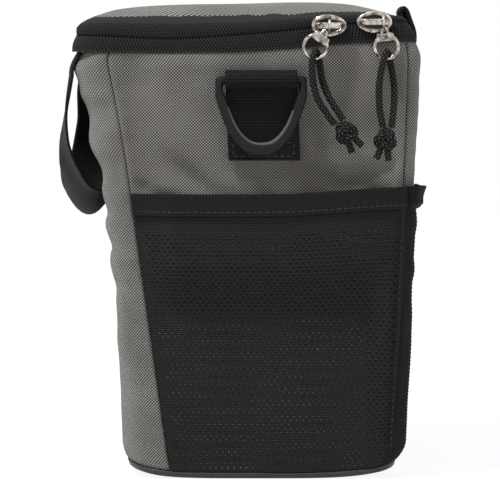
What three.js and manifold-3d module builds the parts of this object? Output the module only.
// A top-loading camera bag: padded body, zipped lid, mesh side pockets, strap rings, carry handle, zip pulls.
// Millimetres. +Z is up, +X is the back of the bag, -Y is its left side, and the origin is under the middle
// of the base, on the floor.
import * as THREE from "three";
import { mergeVertices } from "three/addons/utils/BufferGeometryUtils.js";
import Module from "manifold-3d";

const wasm = await Module();
wasm.setup();

// Body form
const ZIP_HEIGHT = 200; // floor to the zip line
const FRONT_REACH = 57; // origin to the front face at the floor
const FRONT_FLARE = 25; // how much further the front face flares up to the zip line
const FLARE_POWER = 2.6; // how late the front face flares
const BACK_REACH = 71; // origin to the back face at the floor
const BACK_FLARE = 7; // how much further the back face reaches at the zip line
const HALF_WIDTH = 76; // origin to a side face at the floor
const SIDE_FLARE = 6; // how much further a side face reaches at the zip line
const SIDE_BULGE = 2; // padding swells each side by this much at mid height
const FRONT_RADIUS_LOW = 23; // front vertical corners at the floor
const FRONT_RADIUS_HIGH = 17; // and at the zip line
const FRONT_RADIUS_DIP = 6.5; // they are this much tighter at mid height
const BACK_RADIUS = 9; // back vertical corners
const LEAST_RADIUS = 1.5; // inner layers never get a sharper corner
const SHOULDER = 16; // height under the zip line over which the walls draw in
const FRONT_SHOULDER = 6; // how far the front face draws in
const BACK_SHOULDER = 7; // and the back face
const SIDE_SHOULDER = 1.5; // and each side

// Layers of the wall, from outside to inside
const CLEAR = 0.3; // gap between pieces that touch
const FABRIC = 1.2;
const FOAM = 7;
const LINING = 0.8;
const RIM = 1; // the lining rises this far above the foam

// Base
const BASE_HEIGHT = 6; // height of the coated base pan's rim
const BASE_EDGE = 9; // radius of the rounded lower edge
const BASE_SKIN = 2; // thickness of its floor
const BASE_WALL = 1.6; // and of its rim
const BOARD = 2; // stiffener board

// Zip band and coil
const BAND_HEIGHT = 8; // black band on the body, under the zip line
const BAND = 1.5; // its thickness
const BAND_PROUD = 0.6; // how far it stands out of the fabric
const ZIP_GAP = 1.2; // between the two bands
const ZIP_RISE = 6; // the zip line sweeps up by this much towards the back
const RISE_START = -15; // where along the bag it starts to rise
const RISE_END = 70; // and where it has risen
const RISE_POWER = 6; // how close to the zip line the body follows the rise
const RISE_FADE = 15; // height above the zip line at which the lid no longer follows it
const COIL = 2; // thickness of a coil row
const COIL_HEIGHT = 2.7;
const COIL_START = 0.4; // the coil starts this share of a front corner from the front face

// Lid
const LID_BAND_HEIGHT = 5.6; // black band on the lid
const LID_BAND_LEAN = 5; // its top leans in by this much
const KNEE_SHARE = 0.6; // share of its height at which it starts to lean in
const LID_CROWN = 6.8; // rise of the domed top above its edge
const CROWN_POWER = 4; // how flat the dome is in the middle
const LID_LINING_LIFT = 2.2; // lid lining above the zip line
const HINGE_MARGIN = 20; // the fabric hinge ends this far from the front corners
const HINGE_REACH = 7; // how far its lower half reaches under the zip line

// Lid pull tab, a folded webbing loop
const WEBBING = 1.5; // thickness of every webbing
const TAB_WIDTH = 25;
const TAB_INSET = 11; // start on the lid, in from the back edge
const TAB_SHOULDER = 5; // it starts to turn down this far in from the back edge
const TAB_DROP = 11; // its free end hangs this far under the zip line
const TAB_EYE = 1.7; // half the gap in its folded end

// Strap rings and their webbing tabs
const RING_X = 6.5; // middle of the ring along the side
const RING_MARGIN = 7.5; // webbing loop round the ring's bar, under the zip band
const STRAP_WIDTH = 32; // webbing that holds the ring
const RING_TAB_LENGTH = 36; // ring bar to the lower end of its tab
const RING_PLAY = 0.9; // between the webbing and each side of the ring
const RING_LENGTH = 35; // bar to the bottom of the ring
const RING_SIDE = 3.6; // width of the ring's sides
const RING_FOOT = 5.5; // height of the ring's bottom
const RING_FOOT_HALF = 5; // half the flat length of the ring's bottom, inside
const RING_SHOULDER = 9; // the sides start to draw in this far under the bar
const RING_SWEEP = 8; // how softly they draw in
const RING_CORNER = 3; // rounding of the upper corners
const RING_THICK = 4;
const RING_LEAN = 12; // degrees that the ring leans off the panel
const RING_EDGE = 0.6; // chamfer

// Mesh pockets
const POCKET_DROP = 14; // pocket mouth under the ring tab
const POCKET_LIFT = 2; // lower edge above the base pan
const POCKET_STANDOFF = 7; // how far the open mouth stands off the panel
const POCKET_CORNER = 2; // and how far it stands off the back corner
const POCKET_WRAP = 0.12; // share of the back face that the pocket reaches round to
const POCKET_START = 0.02; // its front seam, as a share of the side
const POCKET_RAMP = 0.16; // share of the side over which the mesh leaves its seam
const POCKET_SWELL = 0.7; // share of its height at which it stands off fully
const MESH = 1;
const BINDING_HEIGHT = 10;
const BINDING = 2;

// Carry handle
const HANDLE_WIDTH = 25;
const HANDLE_EDGE = 9; // outer edge of each end, in from the side face
const HANDLE_LENGTH = 66; // how far it hangs down
const HANDLE_BOW = 5; // how far it bows out from where it is sewn
const HANDLE_TUCK = 5; // its lowest point hangs back again by this much
const HANDLE_TWIST = 62; // degrees that the webbing has turned towards its lowest point
const LEFT_TWIST_POWER = 1.8; // how late its left leg turns
const RIGHT_TWIST_POWER = 0.8; // and its right leg
const HANDLE_FULLNESS = 0.7; // how square the hanging loop is
const BOW_SHARE = 0.45; // share of the drop at which it has bowed out
const HANDLE_END = 9; // length of each sewn end, under the band
const HANDLE_STEPS = 20;

// Zip sliders and pulls
const SLIDER_LENGTH = 16;
const SLIDER_HEIGHT = 10;
const SLIDER_PLATE = 2.6;
const SLIDER_GAP = 4; // between the two sliders
const PULL_CLEARANCE = 3.6; // strap ring to the middle of the front pull's ring
const FRONT_TILT = 34; // degrees that each pull hangs askew, towards the front
const BACK_TILT = -7;
const BRIDGE_MARGIN = 1.5; // end of the slider to the foot of its bridge
const BRIDGE_BAR = 1.6;
const BRIDGE_WIDTH = 2.2;
const BRIDGE_CORNER = 3; // rounding of its shoulders
const BRIDGE_SINK = 0.5; // its feet run this far into the plate
const EYE_PLAY = 0.4; // room for the bridge in the eye of the pull
const EYE_WIRE = 0.65; // radius of the eye's wire
const NECK_LENGTH = 2.5; // link between eye and ring
const NECK_WIDTH = 2.4;
const BLOCK_WIDTH = 7.5; // flat block across the top of the ring
const BLOCK_HEIGHT = 3.4;
const BLOCK_THICK = 2;
const PULL_RADIUS = 5.2; // ring, to the middle of its wire
const PULL_WIRE = 1;

// Pull cords and knots
const CORD = 3;
const KNOT_WIDTH = 11;
const KNOT_HEIGHT = 11;
const KNOT_DEPTH = 8;
const TAIL_LENGTH = 7;
const TAIL_SPREAD = 18; // degrees between each tail and the knot's axis

// Materials
const finish = (color, roughness, metalness = 0) =>
  new THREE.MeshStandardMaterial({ color, roughness, metalness });
const GREY_FABRIC = finish(0x6b6963, 0.9);
const BLACK_FABRIC = finish(0x1f1f20, 0.85);
const BLACK_MESH = finish(0x1b1b1c, 0.9);
const COATED_FABRIC = finish(0x1a1a1b, 0.45);
const WEBBING_BLACK = finish(0x19191a, 0.8);
const MOULDED_BLACK = finish(0x2a2a2c, 0.5);
const BRIGHT_METAL = finish(0xcfccc6, 0.2, 1);
const CORD_BLACK = finish(0x17171a, 0.85);
const GREY_FOAM = finish(0x55565a, 1);
const GREY_LINING = finish(0x8b8c8e, 0.9);
const BOARD_BLACK = finish(0x222222, 0.7);

const { lerp, clamp, degToRad, smoothstep } = THREE.MathUtils;
const vec = (x, y, z) => new THREE.Vector3(x, y, z);
const bag = new THREE.Group();

function addPiece(name, geometry, material, parent = bag) {
  const mesh = new THREE.Mesh(geometry, material);
  mesh.name = name;
  parent.add(mesh);
}

// Solids from sections

// Triangles across a loop of n points, in strips between its two halves. The strips of a whole outline start
// and end on a point, and those of a slab or a rectangle on an edge.
function capTriangles(n, wholeOutline) {
  const faces = [];
  const last = wholeOutline ? n : n - 1;
  for (let a = 0; 2 * a < last - 1; a++) {
    const b = (last - a) % n;
    const beforeB = last - a - 1;
    faces.push([a, a + 1, beforeB], [a, beforeB, b]);
  }
  return faces.filter((face) => new Set(face).size === 3);
}

function signedVolume(points, faces) {
  const cross = vec(0, 0, 0);
  return faces.reduce(
    (sum, [a, b, c]) => sum + points[a].dot(cross.copy(points[b]).cross(points[c])) / 6,
    0,
  );
}

const OUTLINE_CAPS = "whole outline";
const STRIP_CAPS = "strip";
const END_TO_END = "joined end to end";

// A closed solid through equal loops of points. Its two ends are capped, or joined to each other.
function loft(sections, ends) {
  const n = sections[0].length;
  const points = sections.flat();
  const faces = [];
  const spans = ends === END_TO_END ? sections.length : sections.length - 1;
  for (let s = 0; s < spans; s++) {
    const here = s * n;
    const next = ((s + 1) % sections.length) * n;
    for (let i = 0; i < n; i++) {
      const j = (i + 1) % n;
      faces.push([here + i, here + j, next + j], [here + i, next + j, next + i]);
    }
  }
  if (ends !== END_TO_END) {
    const far = (sections.length - 1) * n;
    for (const face of capTriangles(n, ends === OUTLINE_CAPS)) {
      faces.push([...face].reverse());
      faces.push(face.map((i) => i + far));
    }
  }
  if (signedVolume(points, faces) < 0) faces.forEach((face) => face.reverse());
  const geometry = new THREE.BufferGeometry();
  geometry.setAttribute("position", new THREE.Float32BufferAttribute(points.flatMap((p) => p.toArray()), 3));
  geometry.setIndex(faces.flat());
  return flatShaded(geometry);
}

// A flat shape carried straight through a depth.
function extruded(shape, depth, curveSegments) {
  return new THREE.ExtrudeGeometry(shape, { depth, bevelEnabled: false, curveSegments });
}

function flatShaded(geometry) {
  const loose = geometry.index ? geometry.toNonIndexed() : geometry;
  loose.computeVertexNormals();
  return loose;
}

// Joins closed geometries into one.
function united(...geometries) {
  const solids = geometries.map((geometry) => {
    const bare = new THREE.BufferGeometry();
    const source = geometry.index ? geometry.toNonIndexed() : geometry;
    bare.setAttribute("position", source.getAttribute("position"));
    const merged = mergeVertices(bare, 1e-4);
    return new wasm.Manifold(
      new wasm.Mesh({
        numProp: 3,
        vertProperties: new Float32Array(merged.attributes.position.array),
        triVerts: new Uint32Array(merged.index.array),
      }),
    );
  });
  const mesh = solids.reduce((sum, solid) => sum.add(solid)).getMesh();
  const geometry = new THREE.BufferGeometry();
  geometry.setAttribute("position", new THREE.Float32BufferAttribute(mesh.vertProperties, 3));
  geometry.setIndex([...mesh.triVerts]);
  return flatShaded(geometry);
}

// The bag's outline at a height

// Stretches of the outline, counter-clockwise from above. A whole number is the start of one.
const STRETCHES = ["left", "back left", "back", "back right", "right", "front right", "front", "front left"];
const [LEFT, BACK_LEFT, BACK, BACK_RIGHT, RIGHT, FRONT_RIGHT, FRONT, FRONT_LEFT] = STRETCHES.keys();
const AROUND = STRETCHES.length;
const STRETCH_STEPS = 4; // lattice steps on each

function outline(z, inwards) {
  const rise = clamp(z / ZIP_HEIGHT, 0, 1);
  const toe = BASE_EDGE - Math.sqrt(BASE_EDGE ** 2 - Math.max(BASE_EDGE - z, 0) ** 2);
  const inset = inwards + toe;
  const drawn = clamp((z - ZIP_HEIGHT + SHOULDER) / SHOULDER, 0, 1) ** 2;
  const waist = Math.sin(Math.PI * rise);
  const frontRadius = lerp(FRONT_RADIUS_LOW, FRONT_RADIUS_HIGH, rise) - FRONT_RADIUS_DIP * waist;
  return {
    front: -(FRONT_REACH + FRONT_FLARE * rise ** FLARE_POWER) + FRONT_SHOULDER * drawn + inset,
    back: BACK_REACH + BACK_FLARE * rise - BACK_SHOULDER * drawn - inset,
    half: HALF_WIDTH + SIDE_FLARE * rise - SIDE_SHOULDER * drawn - inset,
    frontRadius: Math.max(frontRadius - inset, LEAST_RADIUS),
    backRadius: Math.max(BACK_RADIUS - inset, LEAST_RADIUS),
    swell: SIDE_BULGE * waist,
  };
}

// How far the zip line's sweep lifts a point at this place along the bag and this height.
function sweepLift(x, z) {
  const share =
    z < ZIP_HEIGHT ? (z / ZIP_HEIGHT) ** RISE_POWER : 1 - smoothstep(z, ZIP_HEIGHT, ZIP_HEIGHT + RISE_FADE);
  return ZIP_RISE * smoothstep(x, RISE_START, RISE_END) * share;
}

const swept = (p) => p.setZ(p.z + sweepLift(p.x, p.z));

// A point of the wall: u runs round the outline, and inset is counted inwards from the outer face. The shape
// may be taken from another height than the point's own.
function wallPoint(u, z, inset, shapeZ = z) {
  const { front, back, half, frontRadius, backRadius, swell } = outline(shapeZ, inset);
  const stretch = ((Math.floor(u) % AROUND) + AROUND) % AROUND;
  const t = u - Math.floor(u);
  const bulge = swell * Math.sin(Math.PI * t);
  const corner = (x, y, radius, start) => {
    const angle = degToRad(start + 90 * t);
    return [x + radius * Math.cos(angle), y + radius * Math.sin(angle)];
  };
  const places = {
    [LEFT]: () => [lerp(front + frontRadius, back - backRadius, t), -half - bulge],
    [BACK_LEFT]: () => corner(back - backRadius, -half + backRadius, backRadius, -90),
    [BACK]: () => [back, lerp(-half + backRadius, half - backRadius, t)],
    [BACK_RIGHT]: () => corner(back - backRadius, half - backRadius, backRadius, 0),
    [RIGHT]: () => [lerp(back - backRadius, front + frontRadius, t), half + bulge],
    [FRONT_RIGHT]: () => corner(front + frontRadius, half - frontRadius, frontRadius, 90),
    [FRONT]: () => [front, lerp(half - frontRadius, -half + frontRadius, t)],
    [FRONT_LEFT]: () => corner(front + frontRadius, -half + frontRadius, frontRadius, 180),
  };
  return swept(vec(...places[stretch](), z));
}

// Values of u from one place to another, with the lattice points between.
function stretchOf(from, to) {
  const inner = [];
  const [first, last] = [from * STRETCH_STEPS + 1e-3, to * STRETCH_STEPS - 1e-3];
  for (let k = Math.ceil(first); k < last; k++) inner.push(k / STRETCH_STEPS);
  return [from, ...inner, to];
}

// The whole outline starts in the middle of the front face, so that its two halves mirror each other.
const wholeRound = Array.from({ length: AROUND * STRETCH_STEPS }, (_, k) => FRONT + 0.5 + k / STRETCH_STEPS);
const ringAt = (z, inset, shapeZ) => wholeRound.map((u) => wallPoint(u, z, inset, shapeZ));

function heights(from, to, steps) {
  return Array.from({ length: steps + 1 }, (_, k) => lerp(from, to, k / steps));
}

// A slab of wall between two places round the outline, two heights and two insets. Insets may be functions of
// the place and height.
function wallSlab(us, zs, outer, inner, shapeZ) {
  const depth = (inset, u, z) => (typeof inset === "function" ? inset(u, z) : inset);
  return loft(
    zs.map((z) => [
      ...us.map((u) => wallPoint(u, z, depth(outer, u, z), shapeZ)),
      ...[...us].reverse().map((u) => wallPoint(u, z, depth(inner, u, z), shapeZ)),
    ]),
    STRIP_CAPS,
  );
}

const mirrored = (geometry) => {
  const turned = geometry.clone().applyMatrix4(new THREE.Matrix4().makeScale(1, -1, 1));
  const position = turned.getAttribute("position");
  for (let i = 0; i < position.count; i += 3) {
    const [b, c] = [1, 2].map((k) => new THREE.Vector3().fromBufferAttribute(position, i + k));
    position.setXYZ(i + 1, ...c);
    position.setXYZ(i + 2, ...b);
  }
  turned.computeVertexNormals();
  return turned;
};

// Wall layers, counted as insets
const bandIn = BAND - BAND_PROUD;
const foamOut = Math.max(FABRIC, bandIn) + CLEAR;
const foamIn = foamOut + FOAM;
const liningOut = foamIn + CLEAR;
const liningIn = liningOut + LINING;

// Heights that pieces share
const bandBottom = ZIP_HEIGHT - BAND_HEIGHT;
const bandTop = ZIP_HEIGHT - ZIP_GAP / 2;
const lidBottom = ZIP_HEIGHT + ZIP_GAP / 2;
const foamTop = bandTop - COIL_HEIGHT - 2 * CLEAR;
const liningTop = foamTop + RIM;
const boardBottom = BASE_SKIN + CLEAR;
const baseFoamBottom = boardBottom + BOARD + CLEAR;
const baseFoamTop = baseFoamBottom + FOAM;
const wallFoot = baseFoamTop + CLEAR;
const shoulderFoot = ZIP_HEIGHT - SHOULDER;
const WALL_STEPS = 7;
const SHOULDER_STEPS = 4;

// Heights up a wall: even steps, and closer ones where it draws in.
function wallHeights(from, to) {
  const low = heights(from, Math.min(shoulderFoot, to), WALL_STEPS);
  return to > shoulderFoot ? [...low, ...heights(shoulderFoot, to, SHOULDER_STEPS).slice(1)] : low;
}

// Base
function buildBase() {
  const outside = [0, 0.12, 0.4, 0.7, 1].map((share) => ringAt(BASE_HEIGHT * share, 0));
  const inside = [BASE_HEIGHT, (BASE_HEIGHT + BASE_SKIN) / 2, BASE_SKIN].map((z) => ringAt(z, BASE_WALL));
  addPiece("base_pan", loft([...outside, ...inside], OUTLINE_CAPS), COATED_FABRIC);
  const boardInset = BASE_WALL + 2 * CLEAR;
  const board = [boardBottom, boardBottom + BOARD].map((z) => ringAt(z, boardInset, boardBottom));
  addPiece("base_board", loft(board, OUTLINE_CAPS), BOARD_BLACK);
  const foam = [baseFoamBottom, baseFoamTop].map((z) => ringAt(z, BASE_WALL + CLEAR, baseFoamBottom));
  addPiece("base_foam", loft(foam, OUTLINE_CAPS), GREY_FOAM);
}

// Body walls: sewn fabric panels, foam and lining
function buildWalls() {
  const seam = (radius) => CLEAR / (radius * Math.PI); // half a seam gap, as a share of a corner
  const frontSeam = seam(FRONT_RADIUS_HIGH);
  const backSeam = seam(BACK_RADIUS);
  const backEdge = 0.3; // the back panel's seams lie this far into the back corners
  const panelFoot = BASE_HEIGHT + CLEAR;
  const zs = [panelFoot, ...wallHeights(Math.max(BASE_EDGE, panelFoot + CLEAR), bandBottom - CLEAR)];
  const panel = (name, from, to) =>
    addPiece(name, wallSlab(stretchOf(from, to), zs, 0, FABRIC), GREY_FABRIC);
  panel("left_side_panel", LEFT, BACK_LEFT + backEdge - backSeam);
  panel("back_panel", BACK_LEFT + backEdge + backSeam, RIGHT - backEdge - backSeam);
  panel("right_side_panel", RIGHT - backEdge + backSeam, FRONT_RIGHT);
  panel("front_panel", FRONT_RIGHT + 2 * frontSeam, AROUND - 2 * frontSeam);

  const foamZs = wallHeights(wallFoot, foamTop);
  const foam = (name, from, to, left, right) =>
    addPiece(name, wallSlab(stretchOf(from + left, to - right), foamZs, foamOut, foamIn), GREY_FOAM);
  const half = 0.5; // foam panels meet half way round each corner
  const [f, b] = [3 * frontSeam, 3 * backSeam];
  foam("left_foam", LEFT - half, BACK_LEFT + half, f, b);
  foam("back_foam", BACK_LEFT + half, BACK_RIGHT + half, b, b);
  foam("right_foam", BACK_RIGHT + half, FRONT_RIGHT + half, b, f);
  foam("front_foam", FRONT_RIGHT + half, FRONT_LEFT + half, f, f);

  const outerZs = wallHeights(wallFoot, liningTop);
  const innerZs = wallHeights(wallFoot + LINING, liningTop).reverse();
  const lining = [...outerZs.map((z) => ringAt(z, liningOut)), ...innerZs.map((z) => ringAt(z, liningIn))];
  addPiece("body_lining", loft(lining, OUTLINE_CAPS), GREY_LINING);
}

// Zip: a band and a coil row on the body, and the same on the lid
const coilStretch = stretchOf(LEFT - COIL_START, FRONT_RIGHT + COIL_START);
const coilOut = bandIn + CLEAR;
const coilIn = coilOut + COIL;
const BAND_STEPS = 3;

function buildBodyZip() {
  const bandZs = heights(bandBottom, bandTop, BAND_STEPS);
  const outside = bandZs.map((z) => ringAt(z, -BAND_PROUD));
  const inside = bandZs.map((z) => ringAt(z, bandIn));
  const band = [...outside, ...inside.reverse()];
  addPiece("body_zip_band", loft(band, END_TO_END), BLACK_FABRIC);
  const zs = [bandTop - COIL_HEIGHT, bandTop];
  addPiece("body_coil", wallSlab(coilStretch, zs, coilOut, coilIn), BLACK_FABRIC);
}

// Lid: every ring takes its outline from the zip line
const lidRing = (z, inset) => ringAt(z, inset, ZIP_HEIGHT);
const lidBandTop = lidBottom + LID_BAND_HEIGHT;
const knee = lidBottom + LID_BAND_HEIGHT * KNEE_SHARE;
const lidEdge = lidBandTop + CLEAR;

function lidDome(inset, drop, shares) {
  const { front, back } = outline(ZIP_HEIGHT, inset);
  const middle = (front + back) / 2;
  return shares.map((share) => {
    const z = lidEdge - drop + LID_CROWN * (1 - share ** CROWN_POWER);
    return lidRing(z, inset).map((p) => swept(vec(middle + (p.x - middle) * share, p.y * share, z)));
  });
}

function buildLid() {
  const lean = LID_BAND_LEAN;
  const band = [
    lidRing(lidBottom, -BAND_PROUD),
    lidRing(knee, -BAND_PROUD * 0.5),
    lidRing(lidBandTop, lean - BAND_PROUD),
    lidRing(lidBandTop - BAND * 0.6, lean + bandIn),
    lidRing(knee, bandIn),
    lidRing(lidBottom, bandIn),
  ];
  addPiece("lid_zip_band", loft(band, END_TO_END), BLACK_FABRIC);
  const coilZs = [lidBottom, lidBottom + COIL_HEIGHT];
  addPiece("lid_coil", wallSlab(coilStretch, coilZs, coilOut, coilIn, ZIP_HEIGHT), BLACK_FABRIC);
  const shares = [0.35, 0.6, 0.8, 0.93, 1];
  const top = [...lidDome(lean, 0, shares), ...lidDome(lean, -FABRIC, shares).reverse()];
  addPiece("lid_top", loft(top, OUTLINE_CAPS), GREY_FABRIC);
  const liningInset = coilIn + CLEAR;
  const liningBottom = ZIP_HEIGHT + LID_LINING_LIFT;
  const lining = [lidRing(liningBottom, liningInset), lidRing(liningBottom + LINING, liningInset)];
  addPiece("lid_lining", loft(lining, OUTLINE_CAPS), GREY_LINING);
  const foamBottom = liningBottom + LINING + CLEAR;
  const foamInset = Math.max(liningInset, lean + bandIn + CLEAR);
  const foam = [lidRing(foamBottom, liningInset), ...lidDome(foamInset, BAND + CLEAR, shares).reverse()];
  addPiece("lid_foam", loft(foam, OUTLINE_CAPS), GREY_FOAM);
}

// The fabric hinge along the front: one half rides on the body, the other on the lid
function buildHinge() {
  const { half, frontRadius } = outline(ZIP_HEIGHT, 0);
  const margin = HINGE_MARGIN / (2 * (half - frontRadius));
  const along = [FRONT + margin, FRONT_LEFT - margin];
  const inner = -(BAND_PROUD + CLEAR);
  const strip = (name, zs, shapeZ) =>
    addPiece(name, wallSlab(along, zs, inner - FABRIC, inner, shapeZ), BLACK_FABRIC);
  strip("hinge_strip_lower", heights(ZIP_HEIGHT - HINGE_REACH, bandTop, BAND_STEPS));
  strip("hinge_strip_upper", [lidBottom, knee], ZIP_HEIGHT);
}

// Webbing along a path: a rectangle carried along it. Each station has a place, a width direction and a
// thickness direction.
function webbing(stations, width) {
  return loft(
    stations.map(({ place, across, out }) =>
      [
        [-1, -1],
        [1, -1],
        [1, 1],
        [-1, 1],
      ].map(([a, b]) =>
        place
          .clone()
          .addScaledVector(across, (a * width) / 2)
          .addScaledVector(out, (b * WEBBING) / 2),
      ),
    ),
    STRIP_CAPS,
  );
}

// A path in the XZ plane as webbing stations, with the width along Y.
function flatStations(points, divisions) {
  const curve = new THREE.CatmullRomCurve3(points);
  const across = vec(0, 1, 0);
  return heights(0, 1, divisions).map((t) => {
    const out = curve.getTangent(t).cross(across).normalize();
    return { place: curve.getPoint(t), across, out };
  });
}

// Lid pull tab: a hairpin of webbing that lies on the lid and hangs over its back edge
function buildLidTab() {
  const { back } = outline(ZIP_HEIGHT, 0);
  const dome = outline(ZIP_HEIGHT, LID_BAND_LEAN);
  const middle = (dome.front + dome.back) / 2;
  const seat = 2 * CLEAR + WEBBING / 2; // from what it lies on to the middle of the webbing
  const apart = WEBBING + CLEAR; // between the middles of the two layers on the lid
  const onDome = (inset, above) => {
    const x = back - inset;
    const share = Math.min((x - middle) / (dome.back - middle), 1);
    const top = swept(vec(x, 0, lidEdge + FABRIC + LID_CROWN * (1 - share ** CROWN_POWER)));
    return top.setZ(top.z + seat + above);
  };
  const overEdge = (out, up) => swept(vec(back + out, 0, lidBandTop + up));
  const beside = (z, away) => swept(vec(outline(z, 0).back + BAND_PROUD + seat + away, 0, z));
  const end = ZIP_HEIGHT - TAB_DROP;
  const half = (ZIP_HEIGHT + end) / 2;
  const low = end + 2 * TAB_EYE;
  const inner = [
    onDome(TAB_INSET, 0),
    onDome(TAB_SHOULDER, 0),
    overEdge(2 * CLEAR, WEBBING),
    beside(lidBottom, CLEAR),
    beside(half, 0),
    beside(low, 0),
  ];
  const outer = [
    beside(low, TAB_EYE + CLEAR),
    beside(half, 2 * TAB_EYE),
    beside(lidBottom, apart + 2 * CLEAR),
    overEdge(apart + CLEAR, apart + WEBBING + 2 * CLEAR),
    onDome(TAB_SHOULDER, apart + CLEAR),
    onDome(TAB_INSET, apart),
  ];
  const stations = flatStations([...inner, beside(end, TAB_EYE / 2), ...outer], 30);
  addPiece("lid_pull_tab", webbing(stations, TAB_WIDTH), WEBBING_BLACK);
}

// Strap rings
const loopBore = Math.hypot(RING_THICK, RING_SIDE) / 2 + CLEAR; // the ring's bar turns inside this bore
const loopRadius = loopBore + WEBBING;
const ringZ = bandBottom - RING_MARGIN - loopRadius;
const ringTabBottom = ringZ - RING_TAB_LENGTH;
const ringHalf = STRAP_WIDTH / 2 + RING_PLAY + RING_SIDE;

// The side panel's outermost face over the height of the ring tab.
function sideFace() {
  const zs = heights(ringTabBottom, ringZ + loopRadius, 8);
  return Math.max(...zs.map((z) => -wallPoint(LEFT + 0.5, z, 0).y));
}
const tabFace = sideFace() + CLEAR;
const barY = tabFace + loopRadius;

// The tab: a strip sewn to the panel that ends in a loop round the ring's bar. Drawn in the YZ plane,
// outwards to the right, and carried across the width of the webbing.
function ringTabGeometry() {
  const shape = new THREE.Shape();
  shape.moveTo(0, -RING_TAB_LENGTH);
  shape.lineTo(WEBBING, -RING_TAB_LENGTH);
  shape.lineTo(WEBBING, -loopRadius * 1.6);
  shape.lineTo(loopRadius, -loopRadius);
  shape.absarc(loopRadius, 0, loopRadius, -Math.PI / 2, Math.PI, false);
  shape.closePath();
  const bore = new THREE.Path();
  bore.absarc(loopRadius, 0, loopBore, 0, 2 * Math.PI, true);
  shape.holes.push(bore);
  const geometry = extruded(shape, STRAP_WIDTH, 10);
  // Shape X becomes -Y, shape Y becomes Z, and the depth runs along X.
  const axes = new THREE.Matrix4().makeBasis(vec(0, -1, 0), vec(0, 0, 1), vec(-1, 0, 0));
  geometry.applyMatrix4(axes);
  geometry.translate(RING_X + STRAP_WIDTH / 2, -tabFace, ringZ);
  return flatShaded(geometry);
}

// The ring in its own plane: X across, Y up, with the middle of its bar at the origin. Its sides run straight
// down to the shoulder and then sweep in to the foot.
function ringShape() {
  const top = RING_SIDE / 2;
  const bottom = -RING_LENGTH;
  const floor = bottom + RING_FOOT;
  const shoulder = -RING_SHOULDER;
  const sweep = shoulder - RING_SWEEP;
  const corner = ringHalf - RING_CORNER;
  const foot = RING_FOOT_HALF + RING_FOOT / 4;
  const shape = new THREE.Shape();
  shape.moveTo(-corner, top);
  shape.lineTo(corner, top);
  shape.quadraticCurveTo(ringHalf, top, ringHalf, top - RING_CORNER);
  shape.lineTo(ringHalf, shoulder);
  shape.bezierCurveTo(ringHalf - 1, sweep, foot + RING_SWEEP, bottom, foot, bottom);
  shape.lineTo(-foot, bottom);
  shape.bezierCurveTo(-foot - RING_SWEEP, bottom, -ringHalf + 1, sweep, -ringHalf, shoulder);
  shape.lineTo(-ringHalf, top - RING_CORNER);
  shape.quadraticCurveTo(-ringHalf, top, -corner, top);
  const inside = ringHalf - RING_SIDE;
  const hole = new THREE.Path();
  hole.moveTo(-inside, -top);
  hole.lineTo(-inside, shoulder);
  hole.bezierCurveTo(-inside + 1, sweep, -RING_FOOT_HALF - RING_FOOT, floor, -RING_FOOT_HALF, floor);
  hole.lineTo(RING_FOOT_HALF, floor);
  hole.bezierCurveTo(RING_FOOT_HALF + RING_FOOT, floor, inside - 1, sweep, inside, shoulder);
  hole.lineTo(inside, -top);
  hole.closePath();
  shape.holes.push(hole);
  return shape;
}

function strapRingGeometry() {
  const geometry = new THREE.ExtrudeGeometry(ringShape(), {
    depth: RING_THICK - 2 * RING_EDGE,
    bevelThickness: RING_EDGE,
    bevelSize: RING_EDGE,
    bevelOffset: -RING_EDGE,
    bevelSegments: 1,
    curveSegments: 8,
  });
  geometry.translate(0, 0, RING_EDGE - RING_THICK / 2);
  geometry.applyMatrix4(new THREE.Matrix4().makeBasis(vec(1, 0, 0), vec(0, 0, 1), vec(0, -1, 0)));
  geometry.rotateX(degToRad(-RING_LEAN));
  geometry.translate(RING_X, -barY, ringZ);
  return flatShaded(geometry);
}

function buildStrapRings() {
  const tab = ringTabGeometry();
  const ring = strapRingGeometry();
  addPiece("left_ring_tab", tab, WEBBING_BLACK);
  addPiece("left_strap_ring", ring, MOULDED_BLACK);
  addPiece("right_ring_tab", mirrored(tab), WEBBING_BLACK);
  addPiece("right_strap_ring", mirrored(ring), MOULDED_BLACK);
}

// Mesh pockets
const pocketFoot = BASE_HEIGHT + POCKET_LIFT;
const pocketTop = ringTabBottom - POCKET_DROP;
const bindingBottom = pocketTop - BINDING_HEIGHT;

function buildPockets() {
  const from = LEFT + POCKET_START;
  const to = BACK + POCKET_WRAP;
  const us = stretchOf(from, to);
  // The mesh leaves its seams at the front, the back and the foot, and stands furthest off at its open mouth.
  const standoff = (u, z) => {
    const side = POCKET_STANDOFF * smoothstep(u, from, from + POCKET_RAMP);
    const reach = lerp(side, POCKET_CORNER, smoothstep(u, BACK_LEFT - POCKET_RAMP, BACK_LEFT + 0.5));
    const seamed = 1 - smoothstep(u, BACK_LEFT + 0.75, to);
    return reach * seamed * smoothstep(z, pocketFoot, lerp(pocketFoot, pocketTop, POCKET_SWELL));
  };
  const inner = (u, z) => -(CLEAR + standoff(u, z));
  const layer = (thick) => (u, z) => inner(u, z) - thick;
  const mesh = wallSlab(us, heights(pocketFoot, bindingBottom - CLEAR, 6), layer(MESH), inner);
  const binding = wallSlab(us, [bindingBottom, pocketTop], layer(BINDING), inner);
  addPiece("left_pocket_mesh", mesh, BLACK_MESH);
  addPiece("left_pocket_binding", binding, BLACK_FABRIC);
  addPiece("right_pocket_mesh", mirrored(mesh), BLACK_MESH);
  addPiece("right_pocket_binding", mirrored(binding), BLACK_FABRIC);
}

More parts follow.
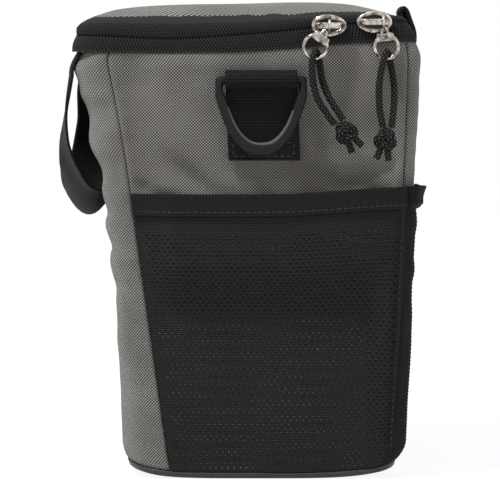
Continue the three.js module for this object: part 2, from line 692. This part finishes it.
// Carry handle: webbing that leaves the front panel under the band, hangs down and turns edge-on
const handleTop = bandBottom - CLEAR - HANDLE_END;
const handleSpread = outline(bandBottom, 0).half - HANDLE_EDGE - HANDLE_WIDTH / 2;
const handleFace = (z) => wallPoint(FRONT + 0.5, z, -CLEAR - WEBBING / 2).x;

// A place along the hanging loop, from its left end to its right end.
function handlePlace(t) {
  const hang = Math.sin(Math.PI * t) ** HANDLE_FULLNESS;
  const z = handleTop - 2 * CLEAR - HANDLE_LENGTH * hang;
  const bow = HANDLE_BOW * smoothstep(hang, 0, BOW_SHARE) - HANDLE_TUCK * smoothstep(hang, BOW_SHARE, 1);
  return vec(handleFace(handleTop) - bow, -handleSpread * Math.cos(Math.PI * t), z);
}

function buildHandle() {
  const end = (side) =>
    webbing(
      heights(handleTop, bandBottom - CLEAR, BAND_STEPS).map((z) => ({
        place: vec(handleFace(z), side * handleSpread, z),
        across: vec(0, 1, 0),
        out: vec(1, 0, 0),
      })),
      HANDLE_WIDTH,
    );
  addPiece("handle_end_left", end(-1), WEBBING_BLACK);
  addPiece("handle_end_right", end(1), WEBBING_BLACK);
  const nearby = 1e-3;
  const stations = heights(0, 1, HANDLE_STEPS).map((t) => {
    const place = handlePlace(t);
    const next = handlePlace(Math.min(t + nearby, 1));
    const along = next.sub(handlePlace(Math.max(t - nearby, 0))).normalize();
    const side = t < 0.5 ? -1 : 1;
    const power = t < 0.5 ? LEFT_TWIST_POWER : RIGHT_TWIST_POWER;
    const turn = degToRad(HANDLE_TWIST) * Math.sin(Math.PI * t) ** power;
    const flat = vec(-Math.sin(turn), side * Math.cos(turn), 0);
    const across = flat.addScaledVector(along, -flat.dot(along)).normalize();
    return { place, across, out: along.clone().cross(across).normalize() };
  });
  addPiece("handle_strap", webbing(stations, HANDLE_WIDTH), WEBBING_BLACK);
}

// Zip sliders, ring pulls and knotted cords, on the left side
const bandFace = -wallPoint(LEFT + 0.5, ZIP_HEIGHT - SLIDER_HEIGHT / 2, -BAND_PROUD).y;
const sliderFace = bandFace + CLEAR + SLIDER_PLATE; // outer face of the slider's plate
const eyeRadius = Math.hypot(BRIDGE_BAR, BRIDGE_WIDTH) / 2 + EYE_PLAY + EYE_WIRE; // to the middle of its wire
const bridgeRise = eyeRadius + EYE_WIRE + CLEAR; // plate to the middle of the bridge bar
const bridgeHalf = SLIDER_LENGTH / 2 - BRIDGE_MARGIN;
const bridgeY = sliderFace + bridgeRise;
const pullReach = eyeRadius + NECK_LENGTH + PULL_RADIUS + PULL_WIRE; // eye to the middle of the ring
const ringShift = (tilt) => -pullReach * Math.sin(degToRad(tilt));
// The front pull hangs from the middle of its slider, and the back pull from the back end of its bridge.
const frontSliderX = RING_X + ringHalf + PULL_CLEARANCE - ringShift(FRONT_TILT);
const backSliderX = frontSliderX + SLIDER_LENGTH + SLIDER_GAP;
const backEyeX = backSliderX + bridgeHalf - BRIDGE_BAR - EYE_WIRE - CLEAR;
const zipLineAt = (x) => ZIP_HEIGHT + sweepLift(x, ZIP_HEIGHT);

function sliderGeometry(x) {
  const plate = new THREE.Shape();
  plate.absellipse(0, 0, SLIDER_LENGTH / 2, SLIDER_HEIGHT / 2, 0, 2 * Math.PI, false);
  const body = extruded(plate, SLIDER_PLATE, 12);
  body.applyMatrix4(new THREE.Matrix4().makeBasis(vec(1, 0, 0), vec(0, 0, 1), vec(0, -1, 0)));
  body.translate(x, -(sliderFace - SLIDER_PLATE), zipLineAt(x));
  // The bridge is an arch over the plate, drawn in the XY plane.
  const high = bridgeRise + BRIDGE_BAR / 2;
  const low = bridgeRise - BRIDGE_BAR / 2;
  const shoulder = bridgeHalf - BRIDGE_CORNER;
  const leg = bridgeHalf - BRIDGE_BAR;
  const arch = new THREE.Shape();
  arch.moveTo(-bridgeHalf, -BRIDGE_SINK);
  arch.quadraticCurveTo(-bridgeHalf, high, -shoulder, high);
  arch.lineTo(shoulder, high);
  arch.quadraticCurveTo(bridgeHalf, high, bridgeHalf, -BRIDGE_SINK);
  arch.lineTo(leg, -BRIDGE_SINK);
  arch.lineTo(leg, low);
  arch.lineTo(-leg, low);
  arch.lineTo(-leg, -BRIDGE_SINK);
  arch.closePath();
  const bridge = extruded(arch, BRIDGE_WIDTH, 4);
  bridge.applyMatrix4(new THREE.Matrix4().makeBasis(vec(1, 0, 0), vec(0, -1, 0), vec(0, 0, -1)));
  bridge.translate(x, -sliderFace, zipLineAt(x) + BRIDGE_WIDTH / 2);
  return united(body, bridge);
}

// The eye stays square to the bridge, and the neck, block and ring hang from it at a tilt.
function pullGeometry(tilt) {
  const eye = new THREE.TorusGeometry(eyeRadius, EYE_WIRE, 8, 16);
  eye.rotateY(Math.PI / 2);
  const neck = new THREE.BoxGeometry(NECK_WIDTH, 2 * EYE_WIRE, NECK_LENGTH + PULL_WIRE);
  neck.translate(0, 0, -eyeRadius - (NECK_LENGTH + PULL_WIRE) / 2);
  const block = new THREE.BoxGeometry(BLOCK_WIDTH, BLOCK_THICK, BLOCK_HEIGHT);
  block.translate(0, 0, -eyeRadius - NECK_LENGTH - BLOCK_HEIGHT / 2);
  const ring = new THREE.TorusGeometry(PULL_RADIUS, PULL_WIRE, 8, 20);
  ring.rotateX(Math.PI / 2);
  ring.translate(0, 0, -pullReach);
  const hanging = [neck, block, ring].map((piece) => piece.rotateY(degToRad(tilt)));
  return united(eye, ...hanging);
}

// Cord routes, counted from the middle of the ring's lower wire: up one strand, over the wire and down again.
const BACK_CORD_ROUTE = [
  [-1.6, -2.6, -30.5],
  [-3.0, -2.7, -23],
  [-3.4, -2.8, -15],
  [-2.9, -2.9, -8],
  [-1.7, -3.0, -2],
  [-0.6, -2.2, 2.0],
  [0.2, 0.2, 3.1],
  [1.0, 2.3, 1.8],
  [1.9, 2.7, -2],
  [3.0, 1.6, -8],
  [3.6, 0.2, -15],
  [3.2, -1.0, -23],
  [2.2, -2.0, -30.5],
];
const FRONT_CORD_ROUTE = [
  [8.6, -2.6, -29.5],
  [5.0, -2.7, -24.5],
  [1.0, -2.8, -18],
  [-1.2, -2.9, -10],
  [-1.5, -3.0, -2],
  [-0.7, -2.2, 2.0],
  [0.2, 0.2, 3.1],
  [1.0, 2.3, 1.8],
  [1.9, 2.7, -2],
  [3.0, 1.4, -9],
  [5.2, 0.2, -15.5],
  [8.6, -1.4, -21.5],
  [12.4, -2.2, -27.2],
];

function cordGeometry(route) {
  const path = new THREE.CatmullRomCurve3(route.map((point) => vec(...point)));
  const section = new THREE.Shape();
  section.absarc(0, 0, CORD / 2, 0, 2 * Math.PI, false);
  const steps = 24;
  const tube = new THREE.ExtrudeGeometry(section, { steps, extrudePath: path, curveSegments: 4 });
  return { tube: flatShaded(tube), ends: [path.getPoint(0), path.getPoint(1)], way: path.getTangent(1) };
}

// A tied knot: a swollen ball where the strands meet, with two short tails.
function knotGeometry({ ends, way }) {
  const entry = ends[0].clone().add(ends[1]).multiplyScalar(0.5);
  const middle = entry.clone().addScaledVector(way, KNOT_HEIGHT / 2 + CLEAR);
  const ball = new THREE.SphereGeometry(0.5, 10, 8);
  ball.scale(KNOT_WIDTH, KNOT_DEPTH, KNOT_HEIGHT);
  const lean = new THREE.Quaternion().setFromUnitVectors(vec(0, 0, -1), way.clone().setY(0).normalize());
  ball.applyQuaternion(lean);
  ball.translate(...middle);
  const tails = [-1, 1].map((side) => {
    const tail = new THREE.CylinderGeometry(CORD / 2, CORD / 2, TAIL_LENGTH, 8);
    tail.rotateX(Math.PI / 2);
    tail.rotateY(degToRad(side * TAIL_SPREAD));
    tail.translate(side * CORD * 0.6, 0, -KNOT_HEIGHT / 2 - TAIL_LENGTH * 0.2);
    tail.applyQuaternion(lean);
    tail.translate(...middle);
    return tail;
  });
  return united(ball, ...tails);
}

function buildSliders() {
  const pairs = [
    ["front", frontSliderX, frontSliderX, FRONT_TILT, FRONT_CORD_ROUTE],
    ["back", backSliderX, backEyeX, BACK_TILT, BACK_CORD_ROUTE],
  ];
  for (const [side, sliderX, eyeX, tilt, route] of pairs) {
    addPiece(`${side}_slider`, sliderGeometry(sliderX), BRIGHT_METAL);
    const pull = new THREE.Group();
    pull.position.set(eyeX, -bridgeY, zipLineAt(sliderX));
    bag.add(pull);
    addPiece(`${side}_pull_ring`, pullGeometry(tilt), BRIGHT_METAL, pull);
    const hanging = new THREE.Group();
    hanging.position.set(ringShift(tilt), 0, -pullReach * Math.cos(degToRad(tilt)) - PULL_RADIUS);
    pull.add(hanging);
    const cord = cordGeometry(route);
    addPiece(`${side}_pull_cord`, cord.tube, CORD_BLACK, hanging);
    addPiece(`${side}_pull_knot`, knotGeometry(cord), CORD_BLACK, hanging);
  }
}

buildBase();
buildWalls();
buildBodyZip();
buildLid();
buildHinge();
buildLidTab();
buildStrapRings();
buildPockets();
buildHandle();
buildSliders();

export default bag;
